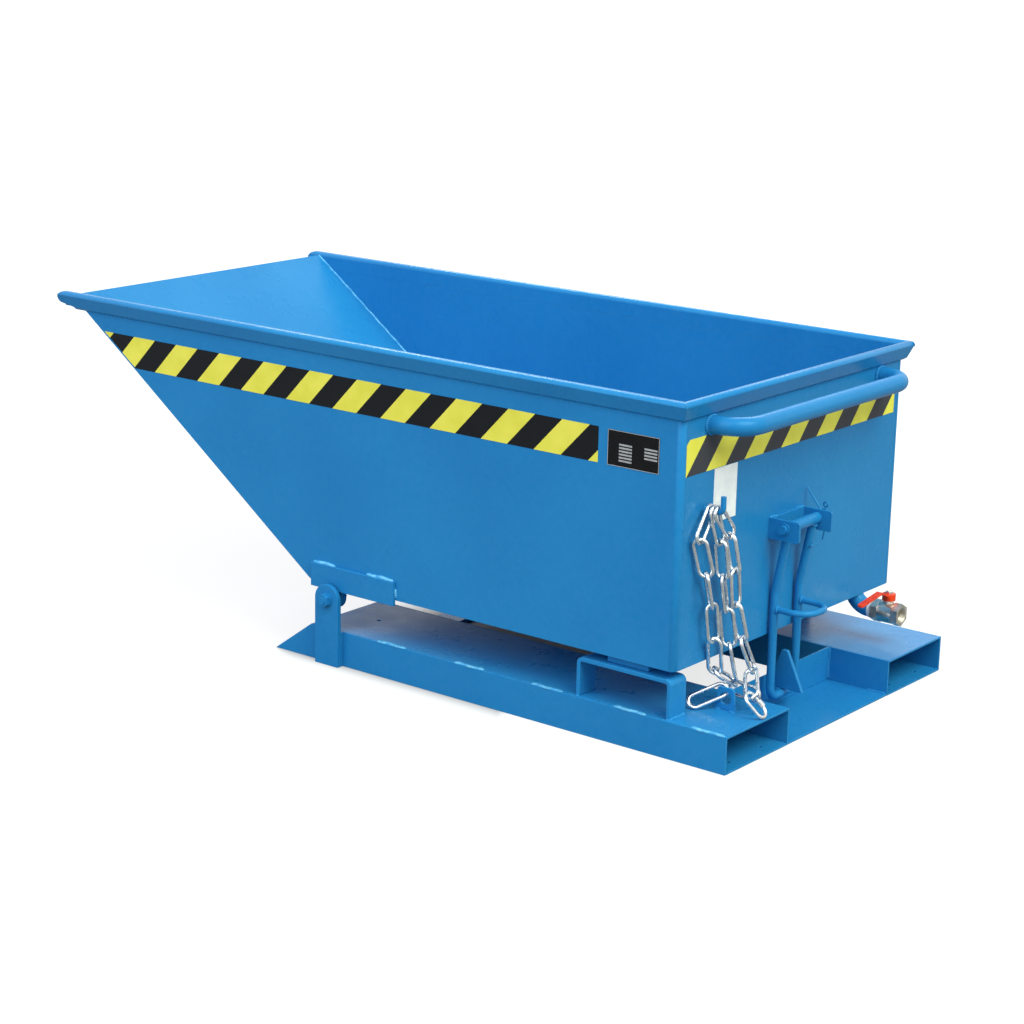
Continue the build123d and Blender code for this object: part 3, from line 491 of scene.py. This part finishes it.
def bead_points(kind, path, outward, closed):
    """Weld bead: an ellipse carried along a path.

    The ellipse is as wide as the bead across the path and as high as it stands outwards. Ripples
    swell it by a cosine of the run along the path, and its centre sways aside by a sine of that
    run and of its place. An open bead rounds off to a point at both ends.
    """
    width, height = (size * mm for size in bead_size[kind])
    steps = np.linalg.norm(np.diff(path, axis=0), axis=1)
    run = np.concatenate(([0.0], np.cumsum(steps)))
    if closed:
        ahead = np.roll(path[:-1], -1, axis=0) - np.roll(path[:-1], 1, axis=0)
        ahead = np.concatenate((ahead, ahead[:1]))
        taper = np.ones(len(path))
    else:
        ahead = np.gradient(path, axis=0)
        share = np.clip(np.minimum(run, run[-1] - run) / width, 0, 1)
        taper = np.sqrt(1 - (1 - share) ** 2)
    across = unit(np.cross(unit(ahead), outward))
    turn = np.linspace(0, 2 * pi, bead_sides, endpoint=False)
    swell = taper * (1 + ripple_share * np.cos(2 * pi * run / (ripple_pitch * mm)))
    phase = run / (sway_run * mm) + sway_by_x * path[:, 0] + sway_by_y * path[:, 1]
    sway = sway_share * width * np.sin(phase)
    centre = path + across * (sway * taper)[:, None]
    wide = across[:, None, :] * (np.cos(turn) * width / 2)[None, :, None]
    high = outward[:, None, :] * (np.sin(turn) * height)[None, :, None]
    return centre[:, None, :] + (wide + high) * swell[:, None, None]


def ring_faces(rings, start, closed):
    """Faces of a tube of rings whose points begin at a number: quads, and caps if it is open."""
    row = np.arange(rings - 1)[:, None] * bead_sides
    side = np.arange(bead_sides)[None, :]
    ahead = (side + 1) % bead_sides
    quads = np.stack((
        row + side, row + bead_sides + side, row + bead_sides + ahead, row + ahead,
    ), axis=-1)
    if closed:
        quads = quads % ((rings - 1) * bead_sides)
    faces = (quads.reshape(-1, 4) + start).tolist()
    if not closed:
        last = start + (rings - 1) * bead_sides
        faces.append(list(range(start, start + bead_sides)))
        faces.append(list(range(last + bead_sides - 1, last - 1, -1)))
    return faces


def straight(kind, start, end, outward):
    """Straight bead: its kind, its path, the outward direction at each point, and not closed."""
    start, end = np.asarray(start, float), np.asarray(end, float)
    count = max(fewest_straight, int(np.linalg.norm(end - start) / (bead_step * mm)))
    share = np.linspace(0, 1, count)[:, None]
    path = start * (1 - share) + end * share
    return kind, path, np.broadcast_to(unit(np.asarray(outward, float)), path.shape), False


def circle(kind, centre, axis, radius):
    """Bead around a bar at its foot: outward leans halfway between the bar and its axis."""
    aside = (0.3, 0.5, 0.8)  # not along any bar
    axis = unit(np.asarray(axis, float))
    first = unit(np.cross(axis, aside))
    second = np.cross(axis, first)
    count = max(fewest_round, int(2 * pi * radius / (bead_step * mm)))
    turn = np.linspace(0, 2 * pi, count + 1)[:, None]
    radial = first * np.cos(turn) + second * np.sin(turn)
    return kind, np.asarray(centre) + radial * radius, unit(radial + axis), True


def mirrored(bead, shift=0.0):
    """The same bead on the far side, shifted along X.

    Its path runs the other way, so that it isn't inside out.
    """
    kind, path, outward, closed = bead
    flip = np.array((1.0, -1.0, 1.0))
    return kind, (path * flip + (shift, 0, 0))[::-1], (outward * flip)[::-1], closed


def add_beads(name, beads, body, finish):
    """One piece of many weld beads, riding on a body."""
    points, faces, count = [], [], 0
    for kind, path, outward, closed in beads:
        rings = bead_points(kind, path, outward, closed)
        if closed:
            rings = rings[:-1]
        faces += ring_faces(len(path), count, closed)
        points.append(rings.reshape(-1, 3))
        count += len(points[-1])
    add_surface(name, np.concatenate(points), faces, finish, body)


# Weld beads of the base

stitch_places = [0.075, 0.267, 0.451, 0.637, 0.804]
stitch_length = 72 * mm
far_stitches = 3  # counted from the front
saddle_thickness = 8 * mm
floor_seam, floor_seam_gap = 42 * mm, 3 * mm
lug_seam = 14 * mm

stitch_beads = []
pocket_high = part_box("pocket_outer_side_near")[1]
for place in stitch_places:
    stitch_beads.append(straight(
        "pocket_stitch", (place - stitch_length / 2, pocket_high.y, pocket_high.z),
        (place + stitch_length / 2, pocket_high.y, pocket_high.z), (0, 0, 1),
    ))
stitch_beads += [mirrored(bead) for bead in stitch_beads[:far_stitches]]
add_beads("base_stitches", stitch_beads, "base", weld_highlight_finish)

saddle_beads = []
saddle_low, saddle_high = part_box("saddle_near")
for edge, face in ((saddle_low.x, -1), (saddle_high.x, 1)):
    saddle_beads.append(straight(
        "saddle_foot", (edge, saddle_low.y, saddle_low.z),
        (edge, saddle_high.y, saddle_low.z), (face, 0, 1),
    ))
    inner = edge - face * saddle_thickness
    saddle_beads.append(straight(
        "saddle_end", (min(edge, inner), saddle_low.y, saddle_low.z),
        (max(edge, inner), saddle_low.y, saddle_low.z), (0, -1, 1),
    ))
saddle_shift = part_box("saddle_far")[0].x - saddle_low.x
base_beads = saddle_beads + [mirrored(bead, saddle_shift) for bead in saddle_beads]

cross_low, cross_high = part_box("cross_wall")
floor_low, floor_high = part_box("rear_floor_plate")
floor_end = floor_high.x - floor_seam_gap
corner_beads = [
    straight(
        "cross_wall", (cross_high.x, cross_low.y, cross_low.z),
        (cross_high.x, cross_low.y, cross_high.z), (1, 1, 0),
    ),
    straight(
        "floor_plate", (floor_end - floor_seam, floor_low.y, floor_high.z),
        (floor_end, floor_low.y, floor_high.z), (0, 1, 1),
    ),
]
base_beads += corner_beads + [mirrored(bead) for bead in corner_beads]

lug_low, lug_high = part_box("chain_lug")
for start in (lug_low.x, lug_high.x - lug_seam):
    for side, face in ((lug_low.y, -1), (lug_high.y, 1)):
        base_beads.append(straight(
            "chain_lug", (start, side, lug_low.z), (start + lug_seam, side, lug_low.z),
            (0, face, 1),
        ))
tooth_low, tooth_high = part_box("catch_tooth")
for side, face in ((tooth_low.y, -1), (tooth_high.y, 1)):
    base_beads.append(straight(
        "catch_tooth", (cross_high.x, side, tooth_low.z), (cross_high.x, side, cross_high.z),
        (1, face, 0),
    ))
add_beads("base_welds", base_beads, "base", finishes["blue_paint"])


# Weld beads of the hopper

front_angle = radians(35.5)
wall_thickness = 3 * mm
wall_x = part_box("rear_wall")[1].x
bead_lift = 1.3 * mm  # keeps the wide beads from showing through the thin walls
plate_top_seams = [(2, 59), (140, 208)]  # start and end from the plate's front edge
plate_end_seam = (14, 34)  # foot and top from the plate's lower edge
rim_radius, rim_offset = 9, 6  # the rolled rim, and its middle's distance from the walls
mitre_start, mitre_end, mitre_rings = radians(-15), radians(58), 40
rear_seam_side = 0.362
rear_seam_gap, rear_foot_gap = 2 * mm, 4 * mm
bracket_seam = 26 * mm

# Beads drawn with the pale weld finish, whose paleness is painted highlight.
painted_highlight_beads = []
plate_low, plate_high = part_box("reinforcing_plate_near")
for start, end in plate_top_seams:
    painted_highlight_beads.append(straight(
        "plate_top", (plate_low.x + start * mm, plate_high.y - bead_lift, plate_high.z),
        (plate_low.x + end * mm, plate_high.y - bead_lift, plate_high.z), (0, -1, 1),
    ))
end_foot, end_top = (plate_low.z + height * mm for height in plate_end_seam)
painted_highlight_beads.append(straight(
    "plate_end", (plate_high.x, plate_high.y, end_foot), (plate_high.x, plate_high.y, end_top),
    (1, -1, 0),
))

sheet_low, sheet_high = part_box("floor_front_sheet")
seam_top = np.array((
    sheet_low.x + wall_thickness * sin(front_angle), sheet_low.y, sheet_high.z,
))
seam_length = (sheet_high.z - sheet_low.z - wall_thickness) / sin(front_angle)
seam_foot = seam_top + seam_length * np.array((cos(front_angle), 0, -sin(front_angle)))
seam_outward = (sin(front_angle), 1, cos(front_angle))
painted_highlight_beads.append(straight("front_seam", seam_foot, seam_top, seam_outward))
painted_highlight_beads += [mirrored(bead) for bead in painted_highlight_beads]
add_beads("hopper_stitches", painted_highlight_beads, "hopper", weld_highlight_finish)


def rim_mitre(rim_top):
    """Bead over the rim's near mitre: an arc of the rolled rim in the corner's diagonal."""
    turn = np.linspace(mitre_start, mitre_end, mitre_rings)
    reach = (rim_offset + rim_radius * np.cos(turn)) * mm
    path = np.stack((
        wall_x + reach, sheet_low.y - wall_thickness - reach,
        rim_top + (rim_radius * np.sin(turn) - rim_radius) * mm,
    ), axis=1)
    level = np.cos(turn) / 2 ** 0.5
    return "rim_mitre", path, np.stack((level, -level, np.sin(turn)), axis=1), False


rim_low, rim_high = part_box("rim_rear")
near_mitre = rim_mitre(rim_high.z)
hopper_beads = [near_mitre, mirrored(near_mitre)]

film_low, film_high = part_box("hazard_tape_rear")
wall_foot, wall_top = sheet_low.z + rear_foot_gap, rim_low.z - rear_seam_gap
for side, foot, top in (
    (-rear_seam_side, wall_foot, film_low.z - rear_seam_gap),
    (rear_seam_side, wall_foot, wall_top),
    (-rear_seam_side, film_high.z + rear_seam_gap, wall_top),
):
    hopper_beads.append(straight(
        "rear_seam", (wall_x, side, foot), (wall_x, side, top), (1, 0, 0),
    ))

handle_low, handle_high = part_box("push_handle")
handle_radius = (handle_high.z - handle_low.z) / 2
for side in (handle_low.y + handle_radius, handle_high.y - handle_radius):
    foot = (wall_x + bead_lift, side, handle_low.z + handle_radius)
    hopper_beads.append(circle("handle_foot", foot, (1, 0, 0), handle_radius))
hook_low, hook_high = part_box("chain_hook")
hook_radius = (hook_high.y - hook_low.y) / 2
hook_foot = (wall_x, hook_low.y + hook_radius, hook_low.z + hook_radius)
hopper_beads.append(circle("hook_foot", hook_foot, (1, 0, 0), hook_radius))

bracket_low, bracket_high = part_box("latch_bracket")
bracket_edge = wall_x + bead_lift
for start, height, face in (
    (bracket_low.y, bracket_high.z, 1),
    (bracket_high.y - bracket_seam, bracket_high.z, 1),
    (bracket_low.y, bracket_low.z, -1),
):
    hopper_beads.append(straight(
        "latch_bracket", (bracket_edge, start, height),
        (bracket_edge, start + bracket_seam, height), (1, 0, face),
    ))
add_beads("hopper_welds", hopper_beads, "hopper", finishes["blue_paint"])


# Weld beads of the latch lever

rod_radius = 8 * mm
rod_run = np.array((-24.0, 0.0, -128.0))  # from the tube down to the rod's bend
loop_sink = 2.7 * mm  # depth of the loop's ends in the rod

loop_low, loop_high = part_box("lever_loop")
loop_radius = (loop_high.z - loop_low.z) / 2
tube_low, tube_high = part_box("lever_tube")
tube_radius = (tube_high.z - tube_low.z) / 2
rod_axis = unit(rod_run)
lever_beads = []
for side in (loop_low.y + loop_radius, loop_high.y - loop_radius):
    root = (loop_low.x + loop_sink, side, loop_low.z + loop_radius)
    lever_beads.append(circle("lever_loop", root, (1, 0, 0), loop_radius))
    tube_middle = np.array(((tube_low.x + tube_high.x) / 2, side, tube_low.z + tube_radius))
    joint = tube_middle + rod_axis * tube_radius
    lever_beads.append(circle("lever_rod", joint, rod_axis, rod_radius))
add_beads("lever_welds", lever_beads, "latch_lever", finishes["blue_paint"])


# Thread in the valve's outlet

thread_pitch, thread_depth, thread_bore, thread_length = 2.309, 1.1, 15.15, 11.4
thread_sink, thread_recess = 0.03, 0.2  # into the bore's wall, and back from the outlet's face
thread_steps, thread_sides = 80, 72


def add_thread():
    """Pipe thread as a thin ring turned about X.

    The ring's inner radius is a cosine of the run along the bore with the thread's pitch, its
    outer radius is constant, and the profile closes on itself at both ends.
    """
    band_low, band_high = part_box("thread_tape")
    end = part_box("valve_body")[1].x
    run = np.linspace(0, thread_length, thread_steps)
    crest = thread_bore - thread_depth * (0.5 + 0.5 * np.cos(2 * pi * run / thread_pitch))
    along = np.concatenate((run, run[::-1]))
    radius = np.concatenate((crest, np.full(thread_steps, thread_bore + thread_sink)))[:, None] * mm
    place = (end - (thread_length + thread_recess - along) * mm)[:, None]
    turn = np.linspace(0, 2 * pi, thread_sides, endpoint=False)
    points = np.stack((
        np.broadcast_to(place, (len(along), thread_sides)),
        (band_low.y + band_high.y) / 2 + radius * np.cos(turn),
        (band_low.z + band_high.z) / 2 + radius * np.sin(turn),
    ), axis=-1)
    row = np.arange(len(along))[:, None]
    column = np.arange(thread_sides)[None, :]
    next_row, next_column = (row + 1) % len(along), (column + 1) % thread_sides
    quads = np.stack((
        row * thread_sides + column, next_row * thread_sides + column,
        next_row * thread_sides + next_column, row * thread_sides + next_column,
    ), axis=-1)
    faces = quads.reshape(-1, 4).tolist()
    nickel = finishes["nickel_brass"]
    add_surface("outlet_thread", points, faces, nickel, "hopper")


add_thread()


# Blank fields and border of the rating plate, in shares of the plate's length and height

field_columns = [(0.225, 0.475, 0.595, 6), (0.715, 0.965, 0.605, 4)]  # left, right, foot, rows
field_pitch, field_height = 0.09, 0.05
border_wide, border_high = 0.01, 0.016
field_thickness = 0.12


def add_plate_fields():
    """Thin raised panels on the plate: each is a flat box from left to right and foot to top."""
    low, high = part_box("label_plate")
    fields = [
        (left, right, foot - field_pitch * row, foot - field_pitch * row + field_height)
        for left, right, foot, rows in field_columns for row in range(rows)
    ]
    border = [
        (0, 1, 0, border_high), (0, 1, 1 - border_high, 1),
        (0, border_wide, border_high, 1 - border_high),
        (1 - border_wide, 1, border_high, 1 - border_high),
    ]
    shares = np.array(fields + border)
    left, right = (low.x + shares[:, side] * (high.x - low.x) for side in (0, 1))
    foot, top = (low.z + shares[:, edge] * (high.z - low.z) for edge in (2, 3))
    face = np.full(len(shares), low.y)
    raised = face - field_thickness * mm
    points = np.stack([
        np.stack(corner, axis=-1) for corner in (
            (left, face, foot), (right, face, foot), (right, face, top), (left, face, top),
            (left, raised, foot), (right, raised, foot), (right, raised, top), (left, raised, top),
        )
    ], axis=1)
    box = np.array([
        (0, 3, 2, 1), (4, 5, 6, 7), (0, 1, 5, 4), (1, 2, 6, 5), (2, 3, 7, 6), (3, 0, 4, 7),
    ])
    firsts = points.shape[1] * np.arange(len(shares))
    faces = (box[None] + firsts[:, None, None]).reshape(-1, 4).tolist()
    add_surface("plate_fields", points, faces, plate_marks, "hopper", smooth=False)


add_plate_fields()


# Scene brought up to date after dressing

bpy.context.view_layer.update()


# Floor and light

floor_reach = 60.0
floor_drop = 0.3 * mm
floor_white = 0.78
painted_shade_rear = 0.34  # where the painted shade on the ground under the hopper ends
painted_shade_fade = (0.9, 1.12)  # shares of half the painted shade's ground between which it turns white
# Ground covered within this reach, in metres, gets painted shade.
occlusion_shade_reach = 0.25
occlusion_shade_fade = (0.4, 0.75)  # shares of open air between which the painted shade of covered ground fades to white
surround_light, surround_seen = 0.55, 1.0


def floor_white_less_painted_shade(tree):
    """Strength of the floor's white, less a painted shade: none deep under the hopper, full behind
    and outside the base.

    The painted shade is set by place: the share is the larger of the distances along and across,
    each divided by half the shaded ground. Ground that nothing covers within a quarter of a metre
    is white too, as when the hopper is tilted; covered ground gets painted shade by occlusion.
    hopper is tilted.
    """
    base_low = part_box("pocket_outer_side_near")[0]
    middle = (base_low.x + painted_shade_rear) / 2
    place = add(tree, "ShaderNodeTexCoord", {}, {}).outputs["Object"]
    parts = add(tree, "ShaderNodeSeparateXYZ", {}, {"Vector": place})
    along = add(tree, "ShaderNodeMath", {"operation": "SUBTRACT"}, {
        0: parts.outputs["X"], 1: middle,
    })
    reach = []
    for value, half in (
        (along.outputs[0], painted_shade_rear - middle), (parts.outputs["Y"], -base_low.y),
    ):
        far = add(tree, "ShaderNodeMath", {"operation": "ABSOLUTE"}, {0: value})
        share = add(tree, "ShaderNodeMath", {"operation": "DIVIDE"}, {0: far.outputs[0], 1: half})
        reach.append(share.outputs[0])
    outer = add(tree, "ShaderNodeMath", {"operation": "MAXIMUM"}, {0: reach[0], 1: reach[1]})
    cover = add(tree, "ShaderNodeAmbientOcclusion", {}, {"Distance": occlusion_shade_reach})
    whites = []
    for value, (start, end) in ((outer.outputs[0], painted_shade_fade), (cover.outputs["AO"], occlusion_shade_fade)):
        white = add(tree, "ShaderNodeMapRange", {"interpolation_type": "SMOOTHSTEP"}, {
            "Value": value, "From Min": start, "From Max": end,
            "To Min": 0.0, "To Max": floor_white,
        })
        whites.append(white.outputs["Result"])
    strength = add(tree, "ShaderNodeMath", {"operation": "MAXIMUM"}, {0: whites[0], 1: whites[1]})
    return strength.outputs[0]


def add_floor():
    """Pale floor that the camera sees as white, with the part's soft shadow kept on it.

    To other rays it is plain matt grey. To the camera it is matt grey and glows white as well,
    and the glow is taken away under the hopper as painted shade.
    """
    mesh = bpy.data.meshes.new("studio_floor")
    corners = np.array(((-1, -1, 0), (1, -1, 0), (1, 1, 0), (-1, 1, 0))) * floor_reach
    mesh.from_pydata(corners.tolist(), [], [(0, 1, 2, 3)])
    floor = new_object("studio_floor", mesh)
    floor.location.z = cad_low.z - floor_drop
    finish = bpy.data.materials.new("pale_floor")
    tree = empty_tree(finish)
    matt = add(tree, "ShaderNodeBsdfDiffuse", {}, {"Color": linear("#8C8C8C")})
    shaded = add(tree, "ShaderNodeBsdfDiffuse", {}, {"Color": linear("#868686")})
    # The white glow fades out under the hopper: painted shade.
    white = add(tree, "ShaderNodeEmission", {}, {
        "Color": full_white, "Strength": floor_white_less_painted_shade(tree),
    })
    seen = add(tree, "ShaderNodeAddShader", {}, {0: shaded.outputs[0], 1: white.outputs[0]})
    camera = add(tree, "ShaderNodeLightPath", {}, {}).outputs["Is Camera Ray"]
    mixed = add(tree, "ShaderNodeMixShader", {}, {
        0: camera, 1: matt.outputs[0], 2: seen.outputs[0],
    })
    add(tree, "ShaderNodeOutputMaterial", {}, {"Surface": mixed.outputs[0]})
    mesh.materials.append(finish)


def seen_directly(tree):
    """One where a ray comes from the camera, a mirror or glass, and zero where it only lights."""
    rays = add(tree, "ShaderNodeLightPath", {}, {})
    bent = add(tree, "ShaderNodeMath", {"operation": "MAXIMUM"}, {
        0: rays.outputs["Is Glossy Ray"], 1: rays.outputs["Is Transmission Ray"],
    })
    seen = add(tree, "ShaderNodeMath", {"operation": "MAXIMUM"}, {
        0: rays.outputs["Is Camera Ray"], 1: bent.outputs[0],
    })
    return seen.outputs[0]


def add_sky():
    """White studio surround: plain level as light, full white where it is seen."""
    sky = bpy.data.worlds.new("studio_surround")
    tree = empty_tree(sky)
    light = add(tree, "ShaderNodeBackground", {}, {
        "Color": linear("#F4F7FF"), "Strength": surround_light,
    })
    white = add(tree, "ShaderNodeBackground", {}, {
        "Color": full_white, "Strength": surround_seen,
    })
    mixed = add(tree, "ShaderNodeMixShader", {}, {
        0: seen_directly(tree), 1: light.outputs[0], 2: white.outputs[0],
    })
    add(tree, "ShaderNodeOutputWorld", {}, {"Surface": mixed.outputs[0]})
    bpy.context.scene.world = sky


def add_soft_lamp(name, azimuth, elevation, strength, spread, colour):
    """Distant soft lamp: azimuth is counted from +X towards +Y, spread is its width in degrees."""
    lamp = bpy.data.lights.new(name, "SUN")
    lamp.energy = strength
    lamp.angle = radians(spread)
    lamp.color = linear(colour)[:3]
    around = Matrix.Rotation(radians(azimuth), 4, "Z")
    down = Matrix.Rotation(radians(90 - elevation), 4, "Y")
    new_object(name, lamp).matrix_world = around @ down


add_floor()
add_sky()
add_soft_lamp(
    "overhead_key", azimuth=-8, elevation=49, strength=2.85, spread=40, colour="#F4FFE8",
)
add_soft_lamp(
    "near_fill", azimuth=-94, elevation=38, strength=1.55, spread=60, colour="#F4F8FF",
)
add_soft_lamp(
    "near_rim_light", azimuth=141, elevation=40, strength=1.1, spread=20, colour="#FFFFFF",
)
add_soft_lamp(
    "rear_rim_light", azimuth=118, elevation=34, strength=0.25, spread=14, colour="#FFFFFF",
)
bpy.context.scene.view_settings.view_transform = "Standard"
